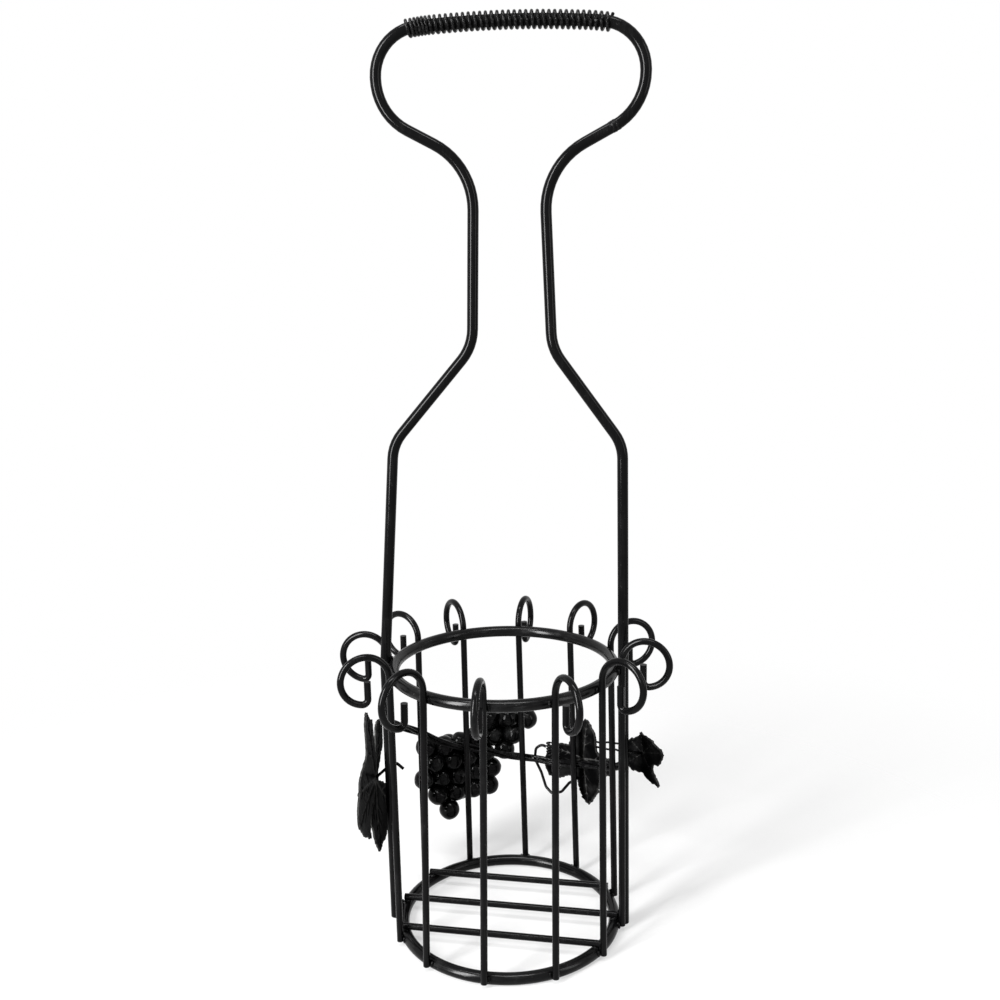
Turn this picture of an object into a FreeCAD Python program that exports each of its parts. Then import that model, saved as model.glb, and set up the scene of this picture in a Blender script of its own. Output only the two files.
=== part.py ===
import FreeCAD, Part
import os
from collections import namedtuple
from math import acos, asin, atan2, cos, degrees, pi, radians, sin, sqrt, tan

# Wire bottle caddy, all sizes in millimetres and angles in degrees.
# Z is up, the table is z = 0 and the cage's axis is the Z axis.
# A bearing is measured round that axis from the front (-Y) towards the right (+X).

# Cage rings
ring_radius = 52.0
ring_rod = 5.5
ring_spacing = 129.6
foot_flat = 0.15

# Upright bars with scrolls
bar_wire = 3.2
bar_foot_drop = 0.2
bar_seat = 0.3
leg_bar_gap = 0.3
scroll_radius = 11.2
scroll_rise = 3.0
scroll_sweep = 260.0
hook_radius = 2.5
hook_stub = 8.2

# Floor of the cage
floor_wire = 3.2
floor_pitch = 25.2
floor_shift = 0.7
floor_bearing = 79.0
floor_seat = 0.3
floor_overhang = 1.5

# Handle
handle_rod = 5.0
handle_bearing = 85.0
leg_seat = 0.5
leg_bend = 100.0
shoulder_width = 104.8
shoulder_drift = 3.7
shoulder_rise = 105.4
shoulder_bend = 20.0
neck_foot_width = 35.6
neck_foot_rise = 43.8
neck_foot_bend = 22.0
neck_head_width = 30.8
neck_length = 78.4
neck_head_bend = 31.0
neck_drift = 6.9
loop_width = 116.0
loop_foot_rise = 22.3
loop_foot_bend = 24.6
loop_side = 0.6
loop_head_bend = 20.0
loop_drift = 8.0
grip_rise = 4.3
grip_end = 2.5
handle_skew = 0.6
weld_bead = 1.2
weld_crown = 0.4

# Grip winding
winding_wire = 1.5
winding_turns = 24
winding_overrun = 4.2
winding_clear = 0.05

# Vine along the back of the cage
vine_wire = 1.8
vine_strands = 3
vine_lay = 1.3
vine_twist = 1.5
vine_bend = 20.0
vine_clear = 0.05

# Berries
berry = 9.7
berry_gap = 0.1
large_bunch_bearing = 203.4
large_bunch_drop = 1.3
small_bunch_drop = 0.4
bunch_spacing = 27.6

# Leaves and their stems
leaf_sheet = 0.9
leaf_cut = 0.7
leaf_sections = (-0.6, -0.3, 0, 0.3, 0.6)
stem_wire = 1.5
stem_bend = 3.0
seat_gap = 0.05
left_leaf_length = 73.0
left_leaf_height = 69.3
left_leaf_bearing = 261.5
left_leaf_curl = 260.0
left_leaf_twist = 8.0
left_leaf_swing = 8.0
left_leaf_lean = 4.1
left_stem = 13.7
left_stem_turn = 10.2
left_stem_low = 3.3
left_stem_rise = 13.5
left_stem_end = 4.4
left_stem_sink = 3.9
left_stem_clear = 0.25
back_leaf_share = 0.76
back_leaf_rise = 1.3
back_leaf_bearing = 139.0
back_leaf_swing = 9.6
right_leaf_length = 31.3
right_leaf_height = 83.6
right_leaf_bearing = 132.3
right_leaf_curl = 45.0
right_leaf_twist = 20.0
right_leaf_swing = 23.8
right_stem = 14.4
right_stem_bearing = 134.9
right_stem_drop = 6.0
right_stem_clear = 0.4

# Tendrils
tendril_wire = 1.5
tendril_bend = 3.0
curl_wire = 0.9
curl_radius = 1.7
curl_pitch = 2.0
curl_turns = 4
curl_bearing = 156.5

# Places worked out from the sizes above
base_z = ring_rod / 2 - foot_flat
top_z = base_z + ring_spacing
bar_circle = ring_radius + ring_rod / 2 + bar_wire / 2 - bar_seat
leg_circle = ring_radius + ring_rod / 2 + handle_rod / 2 - leg_seat
floor_z = base_z + ring_rod / 2 + floor_wire / 2 - floor_seat
shoulder_height = top_z + shoulder_rise
neck_foot_height = shoulder_height + neck_foot_rise
neck_head_height = neck_foot_height + neck_length
loop_foot_height = neck_head_height + loop_foot_rise
vine_circle = bar_circle + bar_wire / 2 + vine_clear + vine_wire / 2 + vine_lay
vine_outside = vine_circle + vine_lay + vine_wire / 2
small_bunch_bearing = large_bunch_bearing - degrees(bunch_spacing / vine_outside)
back_leaf_length = back_leaf_share * vine_outside

# Each bar is bent by hand: its bearing and lean, its scroll's turn, and what its radius and rise differ by.
# The bar beside the left leg stands just clear of it.
leg_angle = degrees(2 * asin((handle_rod + bar_wire + 2 * leg_bar_gap) / (4 * bar_circle)))
beside_leg = handle_bearing + 180 - leg_angle
bar_places = (
    (22.1, 0.6, 1, 0.1, 0.9),
    (50.8, -0.1, -4, -0.1, 1.4),
    (78, 0, -5, -0.2, 1.1),
    (107.8, 1.7, -2, -0.2, -0.7),
    (140.7, 1.2, 0, 0, -0.5),
    (170.8, 0.7, -9, 0.2, -1.6),
    (201.5, 0, 4, 0.1, -1.2),
    (230.8, -0.6, 2, -0.1, -0.8),
    (beside_leg, 0, 0, 0.2, -1.3),
    (291.5, 0, -4, 0, -0.8),
    (319, 1.8, 0, 1.1, 0.9),
    (349.3, 1.2, 2, 0, 1.9),
)

# Vine route as bearing and height, from the left leg round the back to the right one
vine_route = (
    (260, 100.5), (248, 94.5), (238, 88.5), (228, 82), (218, 75), (207, 69), (196, 65), (185, 61.5),
    (174, 59), (163, 58), (152, 58), (141, 60), (131, 62), (121, 65), (112, 69), (104, 74),
)

# Tendril as bearing, share of the way from the bars to the outside of the vine, and height
tendril_route = (
    (139.5, 0, 53), (145, 0, 48.5), (149.5, 0, 42.5), (155, 0, 40), (159, 0.3, 43), (161.8, 0.7, 50),
    (165.4, 1, 57), (164.8, 1, 63), (161.8, 1, 65.5), (159.6, 1, 64.5),
)

# Rows of each bunch from its top: berries in the row, and the row's sideways shift in berries
large_bunch_counts = ((3, 0.7), (4, -0.25), (5, -0.1), (4, -0.45), (1, 0.4))
small_bunch_counts = ((3, 0), (3, 0.8), (1, 0.3))

# Outlines of the vine leaves, in shares of their length: across, and along from the weld away from the tip
left_leaf_outline = (
    (0.02, 0.09), (0.06, 0.23), (0.10, 0.30), (0.19, 0.32), (0.24, 0.26), (0.22, 0.14), (0.12, 0.04),
    (0.05, -0.02), (0.04, -0.08), (0.17, -0.14), (0.28, -0.21), (0.36, -0.33), (0.34, -0.41), (0.22, -0.45),
    (0.14, -0.44), (0.08, -0.51), (-0.01, -0.52), (-0.04, -0.57), (-0.11, -0.48), (-0.17, -0.34),
    (-0.22, -0.25), (-0.21, -0.41), (-0.30, -0.36), (-0.37, -0.34), (-0.59, -0.20), (-0.67, -0.07),
    (-0.63, 0.03), (-0.46, 0.13), (-0.22, 0.16), (-0.24, 0.29), (-0.29, 0.40), (-0.16, 0.46), (-0.07, 0.37),
    (0.00, 0.36), (0.01, 0.23),
)
back_leaf_outline = (
    (0.12, 0.50), (0.20, 0.40), (0.25, 0.30), (0.22, 0.12), (0.27, 0.08), (0.49, 0.07), (0.51, 0.00),
    (0.44, -0.10), (0.26, -0.17), (0.16, -0.35), (0.03, -0.49), (-0.02, -0.52), (-0.09, -0.43), (-0.11, -0.29),
    (-0.13, -0.18), (-0.21, -0.19), (-0.33, -0.23), (-0.47, -0.20), (-0.49, -0.02), (-0.43, 0.12),
    (-0.26, 0.18), (-0.16, 0.17), (-0.09, 0.30),
)
right_leaf_outline = (
    (-0.17, 0.26), (0.03, 0.27), (0.12, 0.33), (0.15, 0.28), (0.35, 0.18), (0.40, 0.09), (0.51, 0.03),
    (0.48, -0.08), (0.25, -0.23), (0.14, -0.20), (0.10, -0.26), (0.11, -0.47), (0.10, -0.58), (-0.01, -0.48),
    (-0.11, -0.29), (-0.30, -0.22), (-0.36, -0.06), (-0.30, 0.14),
)

Segment = namedtuple("Segment", "start end centre axis sweep")
Vector = FreeCAD.Vector
up = Vector(0, 0, 1)


def at_bearing(bearing, radius, z):
    return Vector(radius * sin(radians(bearing)), -radius * cos(radians(bearing)), z)


def outward(bearing):
    return at_bearing(bearing, 1, 0)


def sideways(bearing):
    return Vector(cos(radians(bearing)), sin(radians(bearing)), 0)


def unit(vector):
    return vector * (1 / vector.Length)


# Paths of straight runs and arcs


def line(start, end):
    return Segment(start, end, None, None, 0)


def arc(start, centre, axis, sweep):
    end = centre + FreeCAD.Rotation(axis, sweep).multVec(start - centre)
    return Segment(start, end, centre, axis, sweep)


def run_length(segment):
    if segment.centre is None:
        return (segment.end - segment.start).Length
    return (segment.start - segment.centre).Length * radians(abs(segment.sweep))


def point_on(segment, share):
    if segment.centre is None:
        return segment.start + (segment.end - segment.start) * share
    turn = FreeCAD.Rotation(segment.axis, segment.sweep * share)
    return segment.centre + turn.multVec(segment.start - segment.centre)


def edge_of(segment):
    if segment.centre is None:
        return Part.makeLine(segment.start, segment.end)
    return Part.Arc(segment.start, point_on(segment, 0.5), segment.end).toShape()


def bent_path(corners):
    """Straight runs between the corners, each inner corner rounded by its bend radius."""
    path = []
    here = corners[0][0]
    for (before, _), (corner, bend), (after, _) in zip(corners, corners[1:], corners[2:]):
        way_in = unit(corner - before)
        way_out = unit(after - corner)
        turn = acos(max(-1.0, min(1.0, way_in.dot(way_out))))
        setback = bend * tan(turn / 2)
        start = corner - way_in * setback
        axis = unit(way_in.cross(way_out))
        path.append(line(here, start))
        path.append(arc(start, start + axis.cross(way_in) * bend, axis, degrees(turn)))
        here = path[-1].end
    path.append(line(here, corners[-1][0]))
    return path


def start_way(path):
    return unit(point_on(path[0], 1e-4) - path[0].start)


def swept_rod(path, diameter):
    """Round rod along a path; its volume is compared with section times length."""
    wire = Part.Wire([edge_of(segment) for segment in path])
    profile = Part.Wire(Part.makeCircle(diameter / 2, path[0].start, start_way(path)))
    rod = Part.Solid(wire.makePipeShell([profile], True, False))
    if rod.Volume < 0:
        rod.reverse()
    expected = pi * diameter ** 2 / 4 * sum(run_length(segment) for segment in path)
    if not rod.isValid() or abs(rod.Volume / expected - 1) > 0.01:
        raise ValueError(f"rod of {diameter} mm: volume {rod.Volume:.1f}, expected {expected:.1f}")
    return rod


# Windings: a helix round a path, drawn as biarcs of half a turn


def station(path, distance):
    """Point of a path at a distance along it, and the way the path runs there."""
    for segment in path:
        length = run_length(segment)
        if distance <= length or segment is path[-1]:
            share = distance / length
            ahead = point_on(segment, share + 1e-4)
            behind = point_on(segment, share - 1e-4)
            return point_on(segment, share), unit(ahead - behind)
        distance -= length


def helix_point(path, side, start, pitch, radius, angle):
    centre, along = station(path, start + pitch * angle / (2 * pi))
    return centre + side.cross(along) * (radius * cos(angle)) + side * (radius * sin(angle))


def tangent_arc(start, way, end):
    chord = end - start
    axis = unit(way.cross(chord))
    half = acos(max(-1.0, min(1.0, way.dot(unit(chord)))))
    bend = chord.Length / (2 * sin(half))
    return arc(start, start + axis.cross(way) * bend, axis, degrees(2 * half))


def biarc(start, way_out, end, way_in):
    """Two arcs that leave start and reach end along the given ways."""
    chord = end - start
    spread = 2 * (1 - way_out.dot(way_in))
    pull = chord.dot(way_out + way_in)
    reach = (-pull + sqrt(pull ** 2 + spread * chord.dot(chord))) / spread
    middle = (start + way_out * reach + end - way_in * reach) * 0.5
    first = tangent_arc(start, way_out, middle)
    last = tangent_arc(end, way_in * -1, middle)
    return [first, arc(middle, last.centre, last.axis * -1, last.sweep)]


def wound_path(path, side, start, pitch, radius, turns, lead):
    """Helix of whole turns round a path, with straight leads at both ends."""
    def place(angle):
        return helix_point(path, side, start, pitch, radius, angle)

    def way(angle):
        return unit(place(angle + 1e-4) - place(angle - 1e-4))

    stops = [pi * step for step in range(2 * turns + 1)]
    winding = [line(place(0) - way(0) * lead, place(0))]
    for here, there in zip(stops, stops[1:]):
        winding += biarc(winding[-1].end, way(here), place(there), way(there))
    finish = winding[-1].end
    winding.append(line(finish, finish + way(stops[-1]) * lead))
    return winding


def least_gap(winding, wire):
    """Least gap between neighbouring turns, measured on points of the wire's middle line."""
    points = [point_on(segment, share / 4) for segment in winding[1:-1] for share in range(4)]
    per_turn = 16
    near = range(per_turn * 3 // 4, per_turn * 5 // 4 + 1)
    pairs = ((i, i + step) for i in range(len(points)) for step in near if i + step < len(points))
    return min((points[i] - points[j]).Length for i, j in pairs) - wire


# Cage


def make_scroll_bar(bearing, lean, turn, wider, higher):
    """Upright wire that rolls outwards over the ring and hooks back up inside its own scroll."""
    axis = sideways(bearing + turn)
    foot = at_bearing(bearing, bar_circle, base_z - bar_foot_drop)
    shoulder = at_bearing(bearing, bar_circle, top_z + scroll_rise + higher)
    hub = shoulder + outward(bearing + turn) * (scroll_radius + wider)
    scroll = arc(shoulder, hub, axis, scroll_sweep)
    inwards = unit(hub - scroll.end)
    hook = arc(scroll.end, scroll.end + inwards * hook_radius, axis, 360 - scroll_sweep)
    stub = line(hook.end, hook.end + up * hook_stub)
    bar = swept_rod([line(foot, shoulder), scroll, hook, stub], bar_wire)
    bar.rotate((foot + shoulder) * 0.5, outward(bearing), -lean)
    return bar


def make_floor_rod(row):
    """Straight wire lying across the base ring; row counts from the front."""
    along = outward(floor_bearing)
    offset = floor_shift + row * floor_pitch
    reach = sqrt((ring_radius + floor_overhang) ** 2 - offset ** 2)
    middle = sideways(floor_bearing) * offset + up * floor_z
    return Part.makeCylinder(floor_wire / 2, 2 * reach, middle - along * reach, along)


def make_ring(z, crossing):
    """Ring of round rod, with a shallow weld seat for each piece that crosses it."""
    ring = Part.makeTorus(ring_radius, ring_rod / 2, Vector(0, 0, z))
    table = Part.makeCylinder(2 * ring_radius, ring_rod, Vector(0, 0, -ring_rod))
    return ring.cut([table] + crossing).Solids[0]


# Handle


def handle_point(across, z):
    return outward(handle_bearing) * across + up * z


def handle_corner(side, width, drift, z):
    return handle_point(drift + side * width / 2, z - side * handle_skew)


def make_handle_paths():
    """Paths of the two handle rods, which meet after the loop's last bend, and the grip's two ends."""
    left, right = -1, 1
    slope = atan2(grip_rise, loop_width / 2)
    flare = atan2(loop_foot_height - neck_head_height, (loop_width - neck_head_width) / 2)
    foot_setback = loop_foot_bend * tan((pi / 2 - flare) / 2)
    head_setback = loop_head_bend * tan((pi / 2 - slope) / 2)
    loop_head_height = loop_foot_height + foot_setback + loop_side + head_setback
    grip_arch = (loop_width / 2 / cos(slope) - head_setback - grip_end) / tan(slope)

    def neck(side):
        foot = handle_corner(side, neck_foot_width, neck_drift, neck_foot_height)
        head = handle_corner(side, neck_head_width, neck_drift, neck_head_height)
        return [(foot, neck_foot_bend), (head, neck_head_bend)]

    def loop(side):
        foot = handle_corner(side, loop_width, loop_drift, loop_foot_height)
        head = handle_corner(side, loop_width, loop_drift, loop_head_height)
        return [(foot, loop_foot_bend), (head, loop_head_bend)]

    left_leg = [
        (handle_point(-leg_circle, 0), 0),
        (handle_point(-leg_circle, top_z), leg_bend),
        (handle_corner(left, shoulder_width, shoulder_drift, shoulder_height), shoulder_bend),
    ]
    right_leg = [
        (handle_corner(right, shoulder_width, shoulder_drift, shoulder_height), shoulder_bend),
        (handle_point(leg_circle, 0), 0),
    ]
    to_crown = left_leg + neck(left) + loop(left)
    crown = [(handle_point(loop_drift, loop_head_height + grip_rise), grip_arch)]
    to_weld = to_crown + crown + loop(right)[::-1]
    whole = bent_path(to_weld + neck(right)[::-1] + right_leg)
    # Each bend before the weld adds a straight run and an arc to the path.
    weld = 2 * (len(to_weld) - 1)
    grip = 2 * (len(to_crown) - 1) + 1
    grip_start = sum(run_length(segment) for segment in whole[:grip]) - grip_end
    return whole[:weld], whole[weld:], (grip_start, grip_start + run_length(whole[grip]) + 2 * grip_end)


def make_handle_weld(path):
    """Bead round the two rods' ends."""
    place = path[0].start
    along = start_way(path)
    crown = handle_rod / 2 + weld_crown - weld_bead
    bead = Part.makeTorus(crown, weld_bead, place, along)
    rods = Part.makeCylinder(handle_rod / 2, 4 * weld_bead, place - along * (2 * weld_bead), along)
    return bead.cut(rods).Solids[0]


def make_grip_winding(path, grip_start, grip_finish):
    """Thin wire wound round the crown of the handle and a little way into the bends beside it."""
    radius = handle_rod / 2 + winding_clear + winding_wire / 2
    start = grip_start - winding_overrun
    pitch = (grip_finish + winding_overrun - start) / winding_turns
    side = sideways(handle_bearing)
    winding = wound_path(path, side, start, pitch, radius, winding_turns, winding_wire)
    print(f"grip winding: {winding_turns} turns, least gap {least_gap(winding, winding_wire):.2f} mm")
    return swept_rod(winding, winding_wire)


# Grapevine


def make_vine_wire(strand):
    """One of the wires twisted together along the vine's route."""
    corners = []
    for step, (bearing, z) in enumerate(vine_route):
        angle = 2 * pi * (strand / vine_strands + vine_twist * step / (len(vine_route) - 1))
        radius = vine_circle + vine_lay * cos(angle)
        corners.append((at_bearing(bearing, radius, z + vine_lay * sin(angle)), vine_bend))
    return swept_rod(bent_path(corners), vine_wire)


def make_bunch(bearing, drop, rows, tied):
    """Berries packed in rows, each resting on the one above it, with a second layer nested outside.

    The tied row, counted from the top, touches the vine a little below its middle line.
    """
    step = berry + berry_gap
    z = 0
    above = []
    layout = []
    for count, shift in rows:
        places = [(place - (count - 1) / 2 + shift) * step for place in range(count)]
        if above:
            offset = min(abs(here - there) for here in places for there in above)
            z -= sqrt(step ** 2 - offset ** 2)
        layout.append((z, places))
        above = places
    top = vine_height(bearing) - drop - layout[tied][0]
    first = outward(bearing) * (vine_outside + seat_gap + berry / 2) + up * top
    between = sideways(bearing) * (step / 2) - up * (step / sqrt(12))
    nested = first + between + outward(bearing) * (step * sqrt(2 / 3))
    berries = []
    for z, places in layout:
        berries += [first + sideways(bearing) * place + up * z for place in places]
        berries += [nested + sideways(bearing) * place + up * z for place in places[:-1]]
    return Part.makeCompound([Part.makeSphere(berry / 2, centre) for centre in berries])


def make_strip(curl, twist, half_width, along):
    """Curled cross-section of a leaf's sheet, turned about the midrib by the twist."""
    corners = []
    for radius in (curl, curl + leaf_sheet):
        reach = half_width / curl
        corners.append([Vector(radius * sin(a), along, radius * cos(a) - curl) for a in (-reach, 0, reach)])
    inner, outer = corners
    edges = [
        Part.Arc(*inner).toShape(), Part.makeLine(inner[-1], outer[-1]),
        Part.Arc(*outer[::-1]).toShape(), Part.makeLine(outer[0], inner[0]),
    ]
    strip = Part.Wire(edges)
    strip.rotate(Vector(0, along, 0), Vector(0, 1, 0), twist)
    return strip


def make_leaf(weld, tip_way, face_way, length, outline, curl, twist=0):
    """Lobed sheet leaf, curled about its midrib and twisted along it; weld is on its inner face."""
    across_way = tip_way.cross(face_way)
    corners = [Vector(length * x, -length * y, 0) for x, y in outline]
    blank = Part.Face(Part.makePolygon(corners + corners[:1]))
    depth = length / 2
    blank.translate(Vector(0, 0, -depth))
    blank = blank.extrude(Vector(0, 0, 2 * depth))
    strips = [make_strip(curl, twist * share, leaf_cut * length, share * length) for share in leaf_sections]
    leaf = blank.common(Part.makeLoft(strips, True)).Solids[0]
    frame = FreeCAD.Matrix(
        across_way.x, tip_way.x, face_way.x, weld.x,
        across_way.y, tip_way.y, face_way.y, weld.y,
        across_way.z, tip_way.z, face_way.z, weld.z,
    )
    leaf.Placement = FreeCAD.Placement(frame)
    return leaf


def make_left_stem(weld):
    """Bent wire that carries the left leaf and passes close behind the bar beside the left leg."""
    out = outward(beside_leg)
    beside = sideways(beside_leg) * -(bar_wire / 2 + seat_gap + stem_wire / 2)
    bar = at_bearing(beside_leg, bar_circle, weld.z) + beside
    kink = bar + up * left_stem_rise
    tip = weld - unit(weld - kink) * left_stem_clear
    corners = [tip, kink, kink - out * left_stem_end - up * left_stem_sink]
    return swept_rod(bent_path([(corner, stem_bend) for corner in corners]), stem_wire)


def right_leg_point(z):
    """Point of the right leg's middle line at a height."""
    foot = handle_point(leg_circle, 0)
    shoulder = handle_corner(1, shoulder_width, shoulder_drift, shoulder_height)
    return foot + (shoulder - foot) * (z / shoulder.z)


def make_right_stem(weld):
    """Straight wire that slopes from the right leg down to the right leaf."""
    leg = right_leg_point(weld.z + right_stem_drop)
    way = unit(weld - leg)
    start = leg + way * (handle_rod / 2 + right_stem_clear)
    end = weld - way * right_stem_clear
    return Part.makeCylinder(stem_wire / 2, (end - start).Length, start, way)


def make_tendril():
    """Thin wire that starts on a bar, hangs in a loop, crosses outside the vine and arches back over it."""
    inside = bar_circle + bar_wire / 2 + seat_gap + tendril_wire / 2
    outside = vine_outside + seat_gap + tendril_wire / 2
    corners = []
    for bearing, share, z in tendril_route:
        corners.append((at_bearing(bearing, inside + (outside - inside) * share, z), tendril_bend))
    return swept_rod(bent_path(corners), tendril_wire)


def make_curl(height):
    """Small corkscrew of wire standing on the vine."""
    foot = at_bearing(curl_bearing, vine_circle, height)
    axis = [line(foot, foot + up * (curl_pitch * curl_turns))]
    curl = wound_path(axis, outward(curl_bearing), 0, curl_pitch, curl_radius, curl_turns, curl_wire)
    print(f"corkscrew: {curl_turns} turns, least gap {least_gap(curl, curl_wire):.2f} mm")
    return swept_rod(curl, curl_wire)


def vine_height(bearing):
    """Height of the vine's route at a bearing."""
    for (before, low), (after, high) in zip(vine_route, vine_route[1:]):
        if after <= bearing <= before:
            return low + (high - low) * (before - bearing) / (before - after)


def make_leaves():
    """The three leaves and the stems of the two side ones, by name."""
    left_weld = at_bearing(beside_leg - left_stem_turn, bar_circle + left_stem, left_leaf_height)
    left_way = outward(left_leaf_bearing)
    left_tip = FreeCAD.Rotation(left_way, left_leaf_swing).multVec(up * -1)
    lean = FreeCAD.Rotation(left_way.cross(left_tip), left_leaf_lean)
    left_way, left_tip = lean.multVec(left_way), lean.multVec(left_tip)
    back_way = outward(back_leaf_bearing)
    back_circle = vine_outside + seat_gap
    back_weld = back_way * back_circle + up * (vine_height(back_leaf_bearing) + back_leaf_rise)
    back_tip = FreeCAD.Rotation(back_way, -back_leaf_swing).multVec(up * -1)
    right_weld = right_leg_point(right_leaf_height) + outward(right_stem_bearing) * right_stem
    right_way = outward(right_leaf_bearing)
    right_tip = FreeCAD.Rotation(right_way, -right_leaf_swing).multVec(up * -1)
    return {
        "leaf_left": make_leaf(
            left_weld, left_tip, left_way, left_leaf_length, left_leaf_outline, left_leaf_curl,
            left_leaf_twist,
        ),
        "leaf_left_stem": make_left_stem(left_weld + left_tip * left_stem_low),
        "leaf_back": make_leaf(
            back_weld, back_tip, back_way, back_leaf_length, back_leaf_outline, back_circle,
        ),
        "leaf_right": make_leaf(
            right_weld, right_tip, right_way, right_leaf_length, right_leaf_outline, right_leaf_curl,
            -right_leaf_twist,
        ),
        "leaf_right_stem": make_right_stem(right_weld),
    }


def export(name, shape):
    shape.exportStep(f"parts/{name}.step")
    print(f"{name}: {len(shape.Solids)} solids, {shape.Volume:.0f} mm3, valid {shape.isValid()}")


def main():
    os.makedirs("parts", exist_ok=True)
    bars = [make_scroll_bar(*place) for place in bar_places]
    floor_rods = [make_floor_rod(row) for row in (-1, 0, 1)]
    left_path, right_path, grip = make_handle_paths()
    left_rod = swept_rod(left_path, handle_rod)
    right_rod = swept_rod(right_path, handle_rod)
    handle = [left_rod, right_rod]

    export("base_ring", make_ring(base_z, bars + floor_rods + handle))
    export("top_ring", make_ring(top_z, bars + handle))
    for number, bar in enumerate(bars, 1):
        export(f"scroll_bar_{number:02d}", bar)
    for name, rod in zip(("front", "middle", "back"), floor_rods):
        export(f"floor_rod_{name}", rod)
    export("handle_rod_left", left_rod)
    export("handle_rod_right", right_rod)
    export("handle_weld", make_handle_weld(right_path))
    export("grip_winding", make_grip_winding(left_path, *grip))
    for strand in range(vine_strands):
        export(f"vine_wire_{strand + 1}", make_vine_wire(strand))
    export("grapes_large", make_bunch(large_bunch_bearing, large_bunch_drop, large_bunch_counts, 0))
    export("grapes_small", make_bunch(small_bunch_bearing, small_bunch_drop, small_bunch_counts, -1))
    for name, shape in make_leaves().items():
        export(name, shape)
    export("tendril_loop", make_tendril())
    on_vine = vine_height(curl_bearing) + vine_lay + vine_wire / 2 + seat_gap + curl_wire / 2
    export("tendril_coil", make_curl(on_vine))


main()
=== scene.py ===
from collections import namedtuple
from math import ceil, cos, degrees, exp, hypot, pi, radians, sin, sqrt

import bmesh
import bpy
from bpy.props import FloatProperty, FloatVectorProperty, IntProperty, PointerProperty
from mathutils import Matrix, Vector, noise
from mathutils.geometry import delaunay_2d_cdt
from mathutils.kdtree import KDTree


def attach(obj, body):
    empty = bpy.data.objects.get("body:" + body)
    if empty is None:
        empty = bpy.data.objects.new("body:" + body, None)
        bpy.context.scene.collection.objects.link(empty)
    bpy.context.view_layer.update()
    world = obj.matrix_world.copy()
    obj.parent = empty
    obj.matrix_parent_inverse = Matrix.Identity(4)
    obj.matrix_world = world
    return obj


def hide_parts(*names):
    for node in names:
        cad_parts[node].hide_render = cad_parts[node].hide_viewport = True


bl_info = {
    "name": "Bottle caddy",
    "version": (1, 0, 0),
    "blender": (4, 5, 0),
    "location": "3D View > Sidebar > Caddy",
    "description": "Dresses a wrought-iron bottle caddy: paint, winding, vine, berries, leaves and welds",
    "category": "Object",
}

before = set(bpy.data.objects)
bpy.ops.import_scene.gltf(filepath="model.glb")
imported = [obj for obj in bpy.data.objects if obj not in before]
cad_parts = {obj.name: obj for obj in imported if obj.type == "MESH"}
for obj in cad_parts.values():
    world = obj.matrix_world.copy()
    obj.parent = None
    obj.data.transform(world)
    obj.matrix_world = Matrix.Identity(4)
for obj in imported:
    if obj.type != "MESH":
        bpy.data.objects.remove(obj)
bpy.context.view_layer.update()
MM = 0.001
UP = Vector((0, 0, 1))
WHITE = (1, 1, 1, 1)

# Where the frame's pieces stand, in millimetres and degrees.
# A bearing runs from the front (-Y) to the right (+X).
RING_CIRCLE = 52.0
RING_ROD = 5.5
BAR_WIRE = 3.2
HANDLE_ROD = 5.0
BASE_HEIGHT, TOP_HEIGHT = 2.6, 132.2
BAR_CIRCLE = 56.05
RIGHT_LEG_REACH = 56.52
HANDLE_BEARING = 85.0
FLOOR_BEARING = 79.0
FLOOR_HEIGHT = 6.65
FLOOR_OFFSETS = (-24.5, 0.7, 25.9)
BARS = (
    (22.1, 0.6), (50.8, -0.1), (78, 0), (107.8, 1.7), (140.7, 1.2), (170.8, 0.7),
    (201.5, 0), (230.8, -0.6), (260.5, 0), (291.5, 0), (319, 1.8), (349.3, 1.2),
)
GRIP_LINE = (
    (-35.49, 3.11, 417.19), (-28.31, 2.48, 418.14), (-21.07, 1.84, 418.54), (-13.82, 1.21, 418.84),
    (-6.56, 0.57, 419.03), (0.70, -0.06, 419.11), (7.96, -0.70, 419.09), (15.21, -1.33, 418.96),
    (22.47, -1.97, 418.73), (29.72, -2.60, 418.39), (36.96, -3.23, 417.94), (44.20, -3.87, 417.39),
    (51.37, -4.49, 416.39),
)
# Heights between which the handle rod passes into its winding, points in a turn of wire, and the share of the
# grip where turns crowd
WINDING_FOOT = (412, 414)
POINTS_PER_TURN = 18
CROWDED_END = 0.14
VINE_CIRCLE = 59.9
VINE_ROUTE = (
    (260, 100.5), (248, 94.5), (238, 88.5), (228, 82), (218, 75), (207, 69), (196, 65), (185, 61.5),
    (174, 59), (163, 58), (152, 58), (141, 60), (131, 62), (121, 65), (112, 69), (104, 74),
)
CURL_BEARING = 156.5
CURL_FOOT, CURL_HEAD = 60.7, 68.7
# The two tie wires, by bearing, radius and height
TIE_ROUTES = (
    (
        (131, 62.4, 74.6), (126, 61.8, 75.9), (121, 61.4, 78.2), (115, 61.0, 80.2), (109, 60.4, 82.4),
        (102, 60.2, 83.6), (95, 59.8, 83.0), (88.4, 58.7, 84.4),
    ),
    (
        (132, 62.4, 71.6), (126, 62.0, 73.0), (121, 61.8, 74.2), (115, 61.2, 76.8), (109, 60.6, 78.6),
        (102, 60.4, 81.4), (95, 60.0, 80.2), (88.4, 58.7, 80.6),
    ),
)
# The joint of the two handle rods, and the way the rods run there
WELD_PLACE = Vector((52.38, -4.58, 374.65)) * MM
WELD_WAY = Vector((-0.8873, 0.0776, -0.4545))
# Weld metal: how deep it sits in a rod and how far beside a wire, its lift on the base ring at a bar and at
# a leg, and how far aside and below a floor wire's middle it lies
BEAD_SINK, BEAD_GAP = 0.1, 0.35
BAR_BEAD_LIFT, LEG_BEAD_LIFT = 0.6, 0.8
FLOOR_BEAD_ASIDE, FLOOR_BEAD_DROP = 1.75, 1.3
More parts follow.
